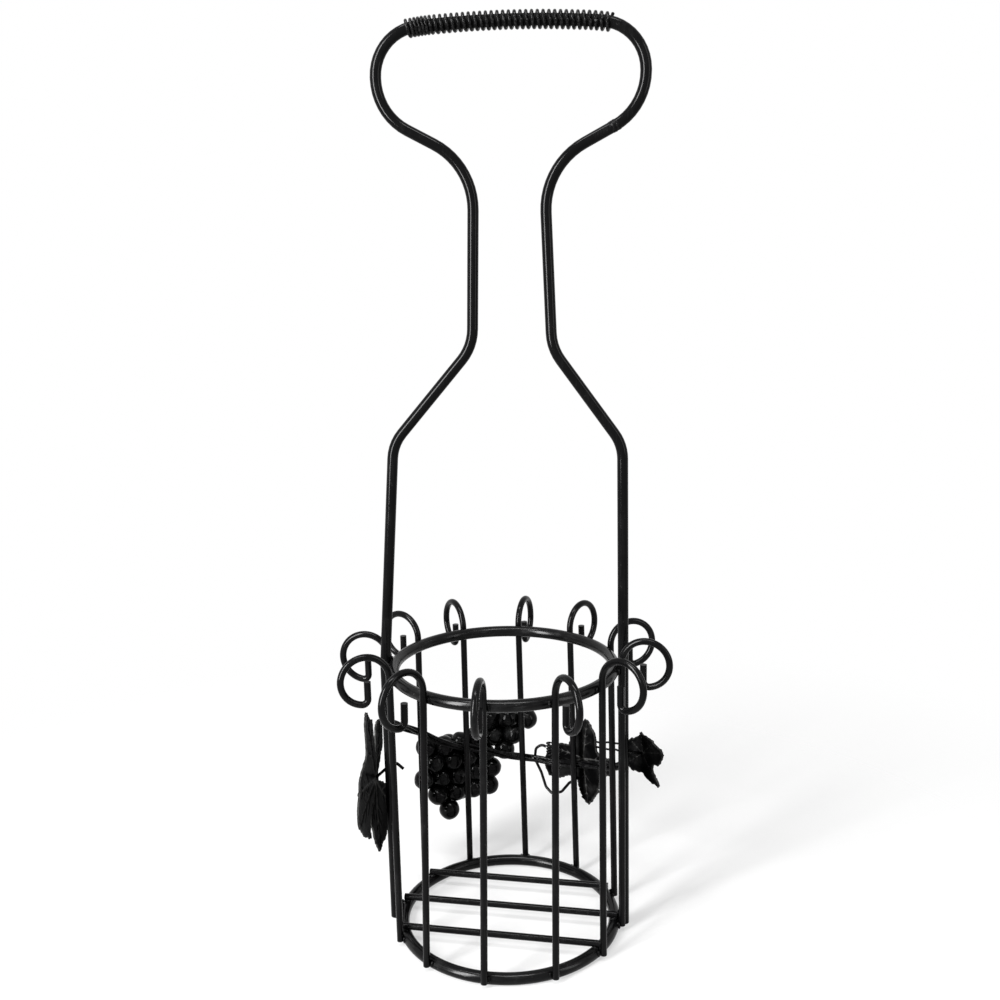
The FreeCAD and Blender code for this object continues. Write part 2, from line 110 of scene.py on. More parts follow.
# How much brush marks are squeezed along a ring and up a rod
RING_STROKE, UPRIGHT_STROKE = 0.07, 0.05
# A berry's stalk points to a place a little nearer the cage than the middle of its bunch
STALK_AIM = Vector((0.9, 0.9, 1.0))

# Outlines of the vine leaves, in shares of their length: across, and along from the weld away from the tip
LEFT_OUTLINE = (
    (0.02, 0.09), (0.06, 0.23), (0.10, 0.30), (0.19, 0.32), (0.24, 0.26), (0.22, 0.14), (0.12, 0.04),
    (0.05, -0.02), (0.04, -0.08), (0.17, -0.14), (0.28, -0.21), (0.36, -0.33), (0.34, -0.41), (0.22, -0.45),
    (0.14, -0.44), (0.08, -0.51), (-0.01, -0.52), (-0.04, -0.57), (-0.11, -0.48), (-0.17, -0.34),
    (-0.22, -0.25), (-0.21, -0.41), (-0.30, -0.36), (-0.37, -0.34), (-0.59, -0.20), (-0.67, -0.07),
    (-0.63, 0.03), (-0.46, 0.13), (-0.22, 0.16), (-0.24, 0.29), (-0.29, 0.40), (-0.16, 0.46), (-0.07, 0.37),
    (0.00, 0.36), (0.01, 0.23),
)
BACK_OUTLINE = (
    (0.12, 0.50), (0.20, 0.40), (0.25, 0.30), (0.22, 0.12), (0.27, 0.08), (0.49, 0.07), (0.51, 0.00),
    (0.44, -0.10), (0.26, -0.17), (0.16, -0.35), (0.03, -0.49), (-0.02, -0.52), (-0.09, -0.43),
    (-0.11, -0.29), (-0.13, -0.18), (-0.21, -0.19), (-0.33, -0.23), (-0.47, -0.20), (-0.49, -0.02),
    (-0.43, 0.12), (-0.26, 0.18), (-0.16, 0.17), (-0.09, 0.30),
)
RIGHT_OUTLINE = (
    (-0.17, 0.26), (0.03, 0.27), (0.12, 0.33), (0.15, 0.28), (0.35, 0.18), (0.40, 0.09), (0.51, 0.03),
    (0.48, -0.08), (0.25, -0.23), (0.14, -0.20), (0.10, -0.26), (0.11, -0.47), (0.10, -0.58), (-0.01, -0.48),
    (-0.11, -0.29), (-0.30, -0.22), (-0.36, -0.06), (-0.30, 0.14),
)
# Where each leaf's main veins start, and the lobe tips they run to
LEFT_VEINS = (
    (-0.01, -0.06), (-0.04, -0.56), (0.31, -0.38), (0.17, 0.30), (-0.17, 0.44), (-0.61, 0.02), (-0.57, -0.20),
    (-0.24, -0.38),
)
BACK_VEINS = (
    (0.00, 0.02), (0.14, 0.47), (0.49, 0.03), (-0.02, -0.51), (-0.40, -0.13), (-0.33, 0.12), (0.37, -0.12),
)
RIGHT_VEINS = (
    (0.00, 0.00), (0.10, -0.56), (0.48, -0.03), (0.12, 0.31), (-0.17, 0.25), (-0.34, -0.10), (0.36, 0.16),
)
# Height, bearing and reach of the stem that carries the right leaf, from the right leg
RIGHT_STEM = (83.6, 134.9, 14.4)
# A leaf's triangles, main veins, side veins and rim band painted lighter (rubbed wear and painted highlight),
# in shares of its length, and the angle in degrees above which its edges stay sharp
LEAF_STEP, MAIN_VEIN, SIDE_VEIN, WORN_AND_GLINT_RIM = 0.009, 0.014, 0.008, 0.02
SHARP_EDGE = 50

# Floor and lamps in metres; each lamp has its place, width, height and watts
FLOOR_RADIUS, FLOOR_DROP = 0.7, 0.0003
FLOOR_FADE = (0.14, 0.46)
FLOOR_GLOW = 0.5
LAMP_AIM = (0, 0, 0.18)
LAMPS = {
    "key_lamp": ((-0.85, -0.8, 0.55), 0.32, 1.1, 62),
    "fill_lamp": ((0.95, -0.55, 0.6), 0.25, 0.9, 5),
    "top_lamp": ((-0.1, -0.3, 1.35), 0.9, 0.22, 16),
}
# Where the photo was taken from, and how the camera tilts down and rolls
CAMERA_PLACE = (0, -0.49037, 0.30654)
CAMERA_TILT, CAMERA_ROLL = -10.925, 1.247
SENSOR_WIDTH = 36


def at_bearing(bearing, radius, height):
    """Point in metres, from a bearing in degrees and sizes in millimetres."""
    turn = radians(bearing)
    return Vector((radius * sin(turn), -radius * cos(turn), height)) * MM


def outward(bearing):
    return at_bearing(bearing, 1 / MM, 0)


def sideways(bearing):
    return Vector((cos(radians(bearing)), sin(radians(bearing)), 0))


def right_leaf_weld():
    height, bearing, reach = RIGHT_STEM
    return at_bearing(HANDLE_BEARING, RIGHT_LEG_REACH, height) + outward(bearing) * (reach * MM)


# A leaf's weld, the bearing it faces, its swing and lean about that, its length, radius of curl and twist
Leaf = namedtuple("Leaf", "name node weld bearing swing lean length curl twist outline veins")
LEAVES = (
    Leaf(
        "left_leaf", "leaf_left", at_bearing(250.3, 69.75, 69.3), 261.5, 8.0, 4.1, 73.0, 260.0, 8.0,
        LEFT_OUTLINE, LEFT_VEINS,
    ),
    Leaf(
        "back_leaf", "leaf_back", at_bearing(139.0, 62.15, 61.7), 139.0, -9.6, 0.0, 47.2, 62.15, 0.0,
        BACK_OUTLINE, BACK_VEINS,
    ),
    Leaf(
        "right_leaf", "leaf_right", right_leaf_weld(), 132.3, -23.8, 0.0, 31.3, 45.0, -20.0,
        RIGHT_OUTLINE, RIGHT_VEINS,
    ),
)


class Flow:
    """A socket of a node tree; arithmetic on it adds the maths nodes."""

    def __init__(self, tree, socket=None):
        self.tree = tree
        self.socket = socket

    def node(self, kind, settings=None, sockets=None, out=0):
        """Adds a node, sets it up, fills its sockets and gives one of its outputs."""
        made = self.tree.nodes.new(kind)
        for name, value in (settings or {}).items():
            setattr(made, name, value)
        for name, value in (sockets or {}).items():
            if isinstance(value, Flow):
                self.tree.links.new(value.socket, made.inputs[name])
            else:
                made.inputs[name].default_value = value
        return Flow(self.tree, made.outputs[out])

    def other(self, name):
        """Another output of the same node."""
        return Flow(self.tree, self.socket.node.outputs[name])

    def maths(self, operation, first, second=0.0):
        return self.node("ShaderNodeMath", {"operation": operation}, {0: first, 1: second})

    def __add__(self, value):
        return self.maths("ADD", self, value)

    def __radd__(self, value):
        return self.maths("ADD", value, self)

    def __sub__(self, value):
        return self.maths("SUBTRACT", self, value)

    def __rsub__(self, value):
        return self.maths("SUBTRACT", value, self)

    def __mul__(self, value):
        return self.maths("MULTIPLY", self, value)

    def __truediv__(self, value):
        return self.maths("DIVIDE", self, value)

    def __pow__(self, value):
        return self.maths("POWER", self, value)

    def vector(self, operation, *values):
        return self.node("ShaderNodeVectorMath", {"operation": operation}, dict(enumerate((self,) + values)))

    def scaled(self, factor):
        return self.node("ShaderNodeVectorMath", {"operation": "SCALE"}, {0: self, "Scale": factor})

    def between(self, low, high):
        """Smooth step from 0 at low to 1 at high."""
        limits = {"Value": self, "From Min": low, "From Max": high}
        return self.node("ShaderNodeMapRange", {"interpolation_type": "SMOOTHSTEP"}, limits)

    def tint(self, first, second):
        """Colour between two others, by this share of the second."""
        return self.node("ShaderNodeMix", {"data_type": "RGBA"}, {0: self, 6: first, 7: second}, 2)

    def grain(self, scale, detail=3.0, roughness=0.55):
        """Noise at this place, with features of about 1 / scale metres."""
        sockets = {"Vector": self, "Scale": scale, "Detail": detail, "Roughness": roughness}
        return self.node("ShaderNodeTexNoise", {"normalize": True}, sockets)

    def cells(self, scale):
        return self.node("ShaderNodeTexVoronoi", {"feature": "F1"}, {"Vector": self, "Scale": scale})

    def kept(self, name):
        """Number kept on the mesh under this name."""
        return self.node("ShaderNodeAttribute", {"attribute_name": name}, None, "Fac")


# Sizes and colours a user would change


def size(name, description, millimetres):
    default = millimetres * MM
    return FloatProperty(name=name, description=description, default=default, unit="LENGTH", precision=5)


def count(name, description, default):
    return IntProperty(name=name, description=description, default=default)


def share(name, description, default):
    return FloatProperty(name=name, description=description, default=default, subtype="FACTOR")


def colour(name, description, default):
    return FloatVectorProperty(name=name, description=description, default=default, subtype="COLOR", size=3)


class PaintSettings(bpy.types.PropertyGroup):
    black: colour("Black", "Colour of the paint", (0.0014, 0.0014, 0.0015))
    thin: colour("Thin paint", "Colour where the paint is rubbed thin", (0.011, 0.011, 0.011))
    # The worn colour also paints the leaf veins and rim lighter: rubbed wear and painted highlight
    worn: colour("Worn", "Colour of bare flecks and scratches", (0.06, 0.06, 0.058))
    gloss: share("Roughness", "Roughness of the satin paint", 0.22)


class GripSettings(bpy.types.PropertyGroup):
    turns: count("Turns", "Turns of wire on the grip", 38)
    crowd: count("Crowded turns", "How many of them are crowded at the left end", 2)
    wire: size("Wire", "Thickness of the winding wire", 1.5)
    rod: size("Rod", "Thickness of the handle rod", HANDLE_ROD)
    slack: size("Slack", "Gap between the rod and its winding", 0.05)


class VineSettings(bpy.types.PropertyGroup):
    wire: size("Wire", "Thickness of one vine strand", 1.8)
    lay: size("Lay", "Distance of a strand from the vine's middle line", 1.3)
    strands: count("Strands", "Wires twisted together", 3)
    turns: FloatProperty(name="Turns", description="Turns of the twist from end to end", default=1.5)
    tie_wire: size("Tie wire", "Thickness of the tendrils that tie the vine to the right leg", 1.1)
    curl_wire: size("Corkscrew wire", "Thickness of the corkscrew tendril", 0.9)
    curl_radius: size("Corkscrew radius", "Radius of the corkscrew at its wire's middle", 1.7)
    curl_turns: count("Corkscrew turns", "Turns of the corkscrew tendril", 5)


class BerrySettings(bpy.types.PropertyGroup):
    dimple: share("Dimple", "Depth of the dimple where the stalk joins, in radii", 0.14)
    swell: share("Swelling", "How much larger a ball is than its place in the frame", 0.235)
    stray: size("Stray", "How far a ball may stray from its place in the frame", 1.3)
    stray_seed: count("Stray seed", "Which way each ball strays", 1795889327)
    nestle: share("Nestling", "How far the two layers of balls sink into each other", 0.26)
    uneven: share("Unevenness", "How much the balls differ in size", 0.09)
    seed: count("Seed", "Which way each ball is turned", 4)


class LeafSettings(bpy.types.PropertyGroup):
    sheet: size("Sheet", "Thickness of the leaf sheet", 0.9)
    vein: size("Vein", "Height of the pressed veins", 0.45)
    ripple: size("Ripple", "Height of the waves along the rim", 0.9)
    tooth: size("Tooth", "Length of the small teeth along the cut edge", 1.3)
    ragged: size("Raggedness", "How far those teeth wander from the drawn edge", 0.75)
    seed: count("Seed", "Which way each tooth wanders", 1795889327)


class WeldSettings(bpy.types.PropertyGroup):
    bead: size("Bead", "Half the length of a weld bead", 1.9)
    width: size("Width", "Half the width of a weld bead", 0.95)
    collar: size("Collar", "Half the length of the weld collar on the handle", 2.2)
    crown: size("Crown", "Height of that collar above the rod", 0.35)
    seed: count("Seed", "Which way each bead is turned", 9)


class StageSettings(bpy.types.PropertyGroup):
    lens: FloatProperty(name="Lens", description="Focal length in millimetres", default=39.06)
    floor: colour("Floor", "Colour of the floor", (0.26, 0.26, 0.26))
    sky: share("Sky", "Strength of the even light from all round", 0.3)


SETTINGS = {
    "caddy_paint": PaintSettings, "caddy_grip": GripSettings, "caddy_vine": VineSettings,
    "caddy_berries": BerrySettings, "caddy_leaves": LeafSettings, "caddy_welds": WeldSettings,
    "caddy_stage": StageSettings,
}


# Paints


def flat(colour_value, factor=1.0):
    return tuple(channel * factor for channel in colour_value) + (1.0,)


def new_paint(name, specular):
    """A new paint, with the place on the piece that its marks follow and its shader."""
    paint = bpy.data.materials.new(name)
    paint.use_nodes = True
    shader = paint.node_tree.nodes["Principled BSDF"]
    shader.inputs["Specular IOR Level"].default_value = specular
    place = Flow(paint.node_tree).node("ShaderNodeTexCoord", out="Object")
    return paint, place, shader


def coat_on(shader, tone, rough, height, distance):
    """Joins a paint's colour, roughness and relief to its shader."""
    links = shader.id_data.links
    bump = tone.node("ShaderNodeBump", None, {"Height": height, "Strength": 1.0, "Distance": distance})
    for name, value in (("Base Color", tone), ("Roughness", rough), ("Normal", bump)):
        links.new(value.socket, shader.inputs[name])


def along_rings(place):
    """Place measured along the ring, then outwards and up, so that brush marks run round the ring."""
    x = place.node("ShaderNodeSeparateXYZ", None, {0: place}, "X")
    y = x.other("Y")
    turn = x.maths("ARCTAN2", y, x)
    reach = (x * x + y * y) ** 0.5
    sockets = {0: turn * (RING_CIRCLE * MM * RING_STROKE), 1: reach, 2: x.other("Z")}
    return x.node("ShaderNodeCombineXYZ", None, sockets)


def along_uprights(place):
    """Place squeezed in height, so that brush marks run up the wire."""
    return place.vector("MULTIPLY", (1.0, 1.0, UPRIGHT_STROKE))


def every_way(place):
    """Place as it is: brush marks run every way."""
    return place


# Paints of the rods: starts of the names they cover, run of their brush marks, how worn and how brushed they
# are, how much smoother than the satin paint, and their shine
IRON_PAINTS = {
    "ring_paint": (("base_ring", "top_ring"), along_rings, 1.0, 0.36, 0.02, 0.11),
    "bar_paint": (("scroll_bar",), along_uprights, 0.4, 0.14, 0.06, 0.08),
    "handle_paint": (("handle_rod",), along_uprights, 0.25, 0.06, 0.08, 0.065),
    "floor_wire_paint": (("floor_rod",), every_way, 0.5, 0.2, 0.04, 0.09),
}
STEMS = ("leaf_left_stem", "leaf_right_stem", "tendril_loop")


def under_winding(place):
    """1 on the rod under the grip's winding, where the paint is dull, else 0."""
    height = place.node("ShaderNodeSeparateXYZ", None, {0: place}, "Z")
    span = height.other("X")
    foot, top = (level * MM for level in WINDING_FOOT)
    low, high = (GRIP_LINE[end][0] * MM for end in (0, -1))
    return height.between(foot, top) * span.between(low, low + MM) * (1.0 - span.between(high - MM, high))


def iron_paint(name, settings, run, wear, brushed, smoother, specular):
    """Satin black brushed on iron: brush marks, patches rubbed thin, bare flecks and fine grain."""
    paint, place, shader = new_paint(name, specular)
    marks = run(place).grain(1500, 4, 0.6)
    patches = place.grain(85, 3)
    fine = place.grain(2600, 2)
    rubbed = (patches * 0.55 + marks * 0.6).between(0.56, 0.82)
    flecks = place.grain(900, 5, 0.7).between(0.62, 0.72) * patches.between(0.44, 0.64)
    tone = (rubbed * wear).tint(flat(settings.black), flat(settings.thin))
    tone = (flecks * wear).tint(tone, flat(settings.worn))
    rough = (settings.gloss - smoother) + (marks - 0.5) * brushed + (patches - 0.5) * 0.16 + flecks * 0.12
    rough = rough + under_winding(place) * 0.5
    coat_on(shader, tone, rough, marks * 0.6 + fine * 0.1 - flecks * 0.35, brushed * 0.00007)
    return paint


def weld_paint(settings):
    """Lumpy weld metal under the same paint."""
    paint, place, shader = new_paint("weld_bead_paint", 0.06)
    lumps = place.grain(700, 4, 0.6)
    pits = place.cells(1500)
    tone = lumps.between(0.5, 0.8).tint(flat(settings.black, 0.9), flat(settings.thin, 1.4))
    rough = settings.gloss + 0.06 + (lumps - 0.5) * 0.3
    coat_on(shader, tone, rough, lumps + pits * 0.4, 0.00015)
    return paint


def winding_paint(settings):
    """Wire polished by the hand on its outer side and dusty between the turns."""
    paint, place, shader = new_paint("grip_winding_paint", 0.075)
    crest = place.kept("crest")
    marks = place.grain(1300, 4, 0.6)
    tone = (crest * marks.between(0.42, 0.7)).tint(flat(settings.black, 0.75), flat(settings.thin, 1.3))
    rough = settings.gloss + 0.08 - crest * 0.1 + (marks - 0.5) * 0.2
    coat_on(shader, tone, rough, marks, 0.00004)
    return paint


def vine_paint(settings):
    """Hammered wire with thicker paint."""
    paint, place, shader = new_paint("vine_wire_paint", 0.06)
    dents = place.cells(620)
    marks = place.grain(420, 4, 0.6)
    tone = marks.between(0.45, 0.75).tint(flat(settings.black, 0.8), flat(settings.thin))
    rough = settings.gloss + (marks - 0.5) * 0.25
    coat_on(shader, tone, rough, dents * 0.8 + marks * 0.5, 0.0001)
    return paint


def berry_paint(settings):
    """Glossy dipped balls with cloudy tone, bare specks and dust that dulls the hollows."""
    paint, place, shader = new_paint("berry_paint", 0.07)
    clouds = place.grain(260, 4, 0.6)
    specks = place.grain(1700, 3, 0.7)
    hollow = place.kept("hollow")
    tone = clouds.between(0.45, 0.75).tint(flat(settings.black, 0.7), flat(settings.thin, 0.9))
    tone = (specks.between(0.68, 0.76) * 0.6).tint(tone, flat(settings.worn))
    rough = settings.gloss - 0.12 + (clouds - 0.5) * 0.3 + hollow * 0.25
    coat_on(shader, tone, rough, clouds * 0.5 + specks * 0.2, 0.00012)
    return paint


def leaf_paint(settings):
    """Matt sheet with veins and rim painted lighter: rubbed wear and painted highlight."""
    paint, place, shader = new_paint("leaf_sheet_paint", 0.0022)
    vein = place.kept("vein")
    rim = place.kept("rim")
    marks = place.grain(520, 5, 0.62)
    patches = place.grain(120, 3)
    # Veins and rim painted lighter: rubbed wear, and a painted highlight along the raised veins and edges
    rubbed = (vein ** 2 + rim * 0.5) * marks.between(0.22, 0.6)
    tone = (patches.between(0.4, 0.7) * 0.7).tint(flat(settings.black, 0.75), flat(settings.thin, 0.8))
    tone = rubbed.tint(tone, flat(settings.worn, 0.9))
    rough = settings.gloss + 0.16 + (marks - 0.5) * 0.24 - vein * 0.12
    coat_on(shader, tone, rough, marks * 0.7 + vein * 0.6, 0.0001)
    return paint


# Making and placing pieces


def place_piece(name, mesh, slot, *nodes):
    """Puts a finished mesh on the frame, in place of the named solids."""
    if not mesh.polygons:
        raise RuntimeError(f"{name} came out empty")
    mesh.name = name
    piece = bpy.data.objects.new(name, mesh)
    bpy.context.scene.collection.objects.link(piece)
    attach(piece, "root")
    if nodes:
        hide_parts(*nodes)


def plain_mesh(guide):
    """Plain mesh of an object's finished form; the object itself is removed."""
    shown = guide.evaluated_get(bpy.context.evaluated_depsgraph_get())
    mesh = bpy.data.meshes.new_from_object(shown)
    bpy.data.objects.remove(guide)
    return mesh


def shape_object(name, shape):
    """Object made from a finished shape, not yet in the scene."""
    mesh = bpy.data.meshes.new(name)
    shape.to_mesh(mesh)
    shape.free()
    return bpy.data.objects.new(name, mesh)


def guide_object(name, points, edges=()):
    """Points and edges for a node tree to work on."""
    mesh = bpy.data.meshes.new(name)
    mesh.from_pydata(points, edges, [])
    guide = bpy.data.objects.new(name, mesh)
    bpy.context.scene.collection.objects.link(guide)
    return guide


def guide_lines(name, *lines):
    """Guide of one or more lines, each drawn through its points."""
    points, edges = [], []
    for line in lines:
        edges += [(len(points) + step, len(points) + step + 1) for step in range(len(line) - 1)]
        points += line
    return guide_object(name, points, edges)


def even_faces(mesh):
    """Turns a closed mesh's faces outwards and shades them smooth."""
    shape = bmesh.new()
    shape.from_mesh(mesh)
    bmesh.ops.recalc_face_normals(shape, faces=shape.faces)
    for face in shape.faces:
        face.smooth = True
    shape.to_mesh(mesh)
    shape.free()
    return mesh


def grown(guide, tree, **inputs):
    """Runs a node tree on a guide with its named inputs and gives the plain mesh."""
    modifier = guide.modifiers.new(tree.name, "NODES")
    modifier.node_group = tree
    for item in tree.interface.items_tree:
        if item.in_out == "INPUT" and item.name in inputs:
            modifier[item.identifier] = inputs[item.name]
    return plain_mesh(guide)


def new_tree(name, *inputs):
    """Empty node tree with named inputs; gives the tree, its inputs by name and its output node."""
    tree = bpy.data.node_groups.new(name, "GeometryNodeTree")
    tree.interface.new_socket("Geometry", in_out="INPUT", socket_type="NodeSocketGeometry")
    tree.interface.new_socket("Geometry", in_out="OUTPUT", socket_type="NodeSocketGeometry")
    for label, kind in inputs:
        tree.interface.new_socket(label, in_out="INPUT", socket_type="NodeSocket" + kind)
    entry = tree.nodes.new("NodeGroupInput")
    given = {socket.name: Flow(tree, socket) for socket in entry.outputs if socket.name}
    return tree, given, tree.nodes.new("NodeGroupOutput")


def close_tree(tree, shape, material, result):
    """Ends a tree: instances made real, faces smooth and the paint set."""
    shape = shape.node("GeometryNodeRealizeInstances", None, {"Geometry": shape})
    shape = shape.node("GeometryNodeSetShadeSmooth", None, {"Geometry": shape})
    shape = shape.node("GeometryNodeSetMaterial", None, {"Geometry": shape, "Material": material})
    tree.links.new(shape.socket, result.inputs["Geometry"])
    return tree


def laid_wire_tree():
    """Wires wound round guide lines: a winding, a corkscrew or a twisted vine. An input left out is 0."""
    tree, given, result = new_tree(
        "laid_wire", ("Turns", "Float"), ("Points", "Int"), ("Strands", "Int"), ("Reach", "Float"),
        ("Wire", "Float"), ("Hammered", "Float"), ("Shift", "Float"), ("Crowd", "Float"), ("Sides", "Int"),
        ("Paint", "Material"),
    )
    start = given["Geometry"]
    line = start.node("GeometryNodeMeshToCurve", None, {"Mesh": start})
    line = line.node("GeometryNodeCurveSplineType", {"spline_type": "CATMULL_ROM"}, {"Curve": line})
    line = line.node("GeometryNodeSetSplineResolution", None, {"Geometry": line, "Resolution": 24})
    sockets = {"Curve": line, "Count": given["Points"]}
    line = line.node("GeometryNodeResampleCurve", {"mode": "COUNT"}, sockets)
    line = line.node("GeometryNodeSetCurveNormal", {"mode": "Z_UP"}, {"Curve": line})
    sockets = {0: line, "Amount": given["Strands"]}
    line = line.node("GeometryNodeDuplicateElements", {"domain": "SPLINE"}, sockets)
    strand = line.other("Duplicate Index")
    way = line.node("GeometryNodeSplineParameter", out="Factor")
    side = line.node("GeometryNodeInputNormal")
    along = line.node("GeometryNodeInputTangent")
    here = line.node("GeometryNodeInputPosition")
    sway = here.grain(160, 2) - 0.5
    laid = way * given["Turns"] + way.between(0.0, CROWDED_END) * given["Crowd"]
    angle = (laid + strand / given["Strands"]) * (2 * pi) + sway * given["Shift"]
    lift = side.vector("CROSS_PRODUCT", along)
    across = lift.scaled(angle.maths("COSINE", angle) * given["Reach"])
    offset = across.vector("ADD", side.scaled(angle.maths("SINE", angle) * given["Reach"]))
    lean = along.scaled(sway * given["Shift"] * 0.0004)
    sockets = {"Geometry": line, "Offset": offset.vector("ADD", lean)}
    moved = line.node("GeometryNodeSetPosition", None, sockets)
    lumps = 1.0 + (here.grain(330, 3) - 0.5) * given["Hammered"]
    moved = moved.node("GeometryNodeSetCurveRadius", None, {"Curve": moved, "Radius": lumps})
    sockets = {"Resolution": given["Sides"], "Radius": given["Wire"] * 0.5}
    section = moved.node("GeometryNodeCurvePrimitiveCircle", {"mode": "RADIUS"}, sockets)
    sockets = {"Curve": moved, "Profile Curve": section, "Fill Caps": True}
    tube = moved.node("GeometryNodeCurveToMesh", None, sockets)
    return close_tree(tree, tube, given["Paint"], result)


def scatter_tree():
    """Copies of one shape on points, each turned its own way: berries and weld beads."""
    tree, given, result = new_tree(
        "set_on_points", ("Shape", "Object"), ("Uneven", "Float"), ("Tumble", "Float"), ("Seed", "Int"),
        ("Paint", "Material"),
    )
    start = given["Geometry"]
    info = start.node("GeometryNodeObjectInfo", None, {"Object": given["Shape"]}, "Geometry")
    facing, standing = (
        start.node("GeometryNodeInputNamedAttribute", {"data_type": "FLOAT_VECTOR"}, {"Name": name})
        for name in ("facing", "standing")
    )
    turned = start.node(
        "FunctionNodeAxesToRotation", {"primary_axis": "Z", "secondary_axis": "X"}, {0: standing, 1: facing},
    )
    limits = {"Min": 0.0 - given["Tumble"], "Max": given["Tumble"], "Seed": given["Seed"]}
    tumble = start.node("FunctionNodeRandomValue", {"data_type": "FLOAT_VECTOR"}, limits)
    tumble = tumble.node("FunctionNodeEulerToRotation", None, {0: tumble})
    turned = turned.node("FunctionNodeRotateRotation", {"rotation_space": "LOCAL"}, {0: turned, 1: tumble})
    limits = {2: 1.0 - given["Uneven"], 3: 1.0, "Seed": given["Seed"] + 1}
    grade = start.node("FunctionNodeRandomValue", {"data_type": "FLOAT"}, limits, 1)
    sockets = {"Points": start, "Instance": info, "Rotation": turned, "Scale": grade}
    return close_tree(tree, start.node("GeometryNodeInstanceOnPoints", None, sockets), given["Paint"], result)


def seats(name, places):
    """Guide of points, each with the way its copy stands and faces."""
    guide = guide_object(name, [place for place, _, _ in places])
    for label, column in (("standing", 1), ("facing", 2)):
        values = guide.data.attributes.new(label, "FLOAT_VECTOR", "POINT")
        values.data.foreach_set("vector", [part for row in places for part in row[column]])
    return guide


def repaint(starts, paint):
    """Paints the frame's pieces whose names start with one of these."""
    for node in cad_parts:
        if node.startswith(starts):
            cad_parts[node].material_slots[0].material = paint


class CADDY_OT_paint_frame(bpy.types.Operator):
    """Paints the rings, bars, floor wires, handle and stems"""

    bl_idname = "caddy.paint_frame"
    bl_label = "Paint the frame"

    def execute(self, context):
        settings = context.scene.caddy_paint
        for name, (starts, *look) in IRON_PAINTS.items():
            repaint(starts, iron_paint(name, settings, *look))
        repaint(STEMS, vine_paint(settings))
        return {"FINISHED"}


class CADDY_OT_wind_grip(bpy.types.Operator):
    """Winds the thin wire round the top of the handle"""

    bl_idname = "caddy.wind_grip"
    bl_label = "Wind the grip"

    def execute(self, context):
        sizes = context.scene.caddy_grip
        points = [Vector(point) * MM for point in GRIP_LINE]
        middle = (sizes.rod + sizes.wire) / 2 + sizes.slack
        mesh = grown(
            guide_lines("grip_line", points), laid_wire_tree(), Turns=float(sizes.turns - sizes.crowd),
            Points=sizes.turns * POINTS_PER_TURN + 1, Strands=1, Reach=middle, Wire=sizes.wire, Hammered=0.10,
            Shift=0.8, Crowd=float(sizes.crowd), Sides=10, Paint=winding_paint(context.scene.caddy_paint),
        )
        across = sideways(HANDLE_BEARING)
        outer = middle + sizes.wire / 2
        line = [point - across * point.dot(across) for point in points]
        values = []
        for vertex in mesh.vertices:
            flat_place = vertex.co - across * vertex.co.dot(across)
            span = [i for i in range(len(line) - 1) if line[i].x <= flat_place.x] or [0]
            low, high = line[span[-1]], line[span[-1] + 1]
            height = low.z + (high.z - low.z) * (flat_place.x - low.x) / (high.x - low.x)
            values.append((hypot(vertex.co.z - height, vertex.co.dot(across)) / outer) ** 6)
        mesh.attributes.new("crest", "FLOAT", "POINT").data.foreach_set("value", values)
        place_piece("winding", mesh, "winding_iron", "grip_winding")
        return {"FINISHED"}


class CADDY_OT_twist_vine(bpy.types.Operator):
    """Twists the vine's wires along the back of the cage and curls the corkscrew tendril"""

    bl_idname = "caddy.twist_vine"
    bl_label = "Twist the vine"

    def execute(self, context):
        sizes = context.scene.caddy_vine
        paint = vine_paint(context.scene.caddy_paint)
        tree = laid_wire_tree()
        route = [at_bearing(bearing, VINE_CIRCLE, height) for bearing, height in VINE_ROUTE]
        mesh = grown(
            guide_lines("vine_line", route), tree, Turns=sizes.turns, Points=160, Strands=sizes.strands,
            Reach=sizes.lay, Wire=sizes.wire, Hammered=0.35, Shift=0.5, Sides=12, Paint=paint,
        )
        place_piece("vine", mesh, "vine_iron", "vine_wire_1", "vine_wire_2", "vine_wire_3")
        route = [at_bearing(CURL_BEARING, VINE_CIRCLE, height) for height in (CURL_FOOT, CURL_HEAD)]
        mesh = grown(
            guide_lines("curl_line", route), tree, Turns=float(sizes.curl_turns), Points=121, Strands=1,
            Reach=sizes.curl_radius, Wire=sizes.curl_wire, Hammered=0.15, Shift=0.4, Sides=10, Paint=paint,
        )
        place_piece("corkscrew", mesh, "vine_iron", "tendril_coil")
        routes = [[at_bearing(*place) for place in route] for route in TIE_ROUTES]
        mesh = grown(
            guide_lines("tie_lines", *routes), tree, Points=60, Strands=1, Wire=sizes.tie_wire, Hammered=0.25,
            Sides=10, Paint=paint,
        )
        place_piece("tie_wires", mesh, "vine_iron")
        return {"FINISHED"}


def berry_shape(radius, dimple):
    """Ball with a dimple where the stalk joins and a small nub opposite."""
    shape = bmesh.new()
    bmesh.ops.create_uvsphere(shape, u_segments=28, v_segments=20, radius=1.0)
    hollow = shape.verts.layers.float.new("hollow")
    for vertex in shape.verts:
        height = vertex.co.z
        sunk = max(0.0, (height - 0.72) / 0.28) ** 2
        nub = max(0.0, (-height - 0.93) / 0.07) ** 2
        swell = 1 - 0.03 * (1 + noise.noise(vertex.co * 1.7))
        vertex[hollow] = min(1.0, sunk + nub)
        vertex.co *= swell * (1 - dimple * sunk + 0.03 * nub) * radius
    return shape_object("berry_shape", shape)


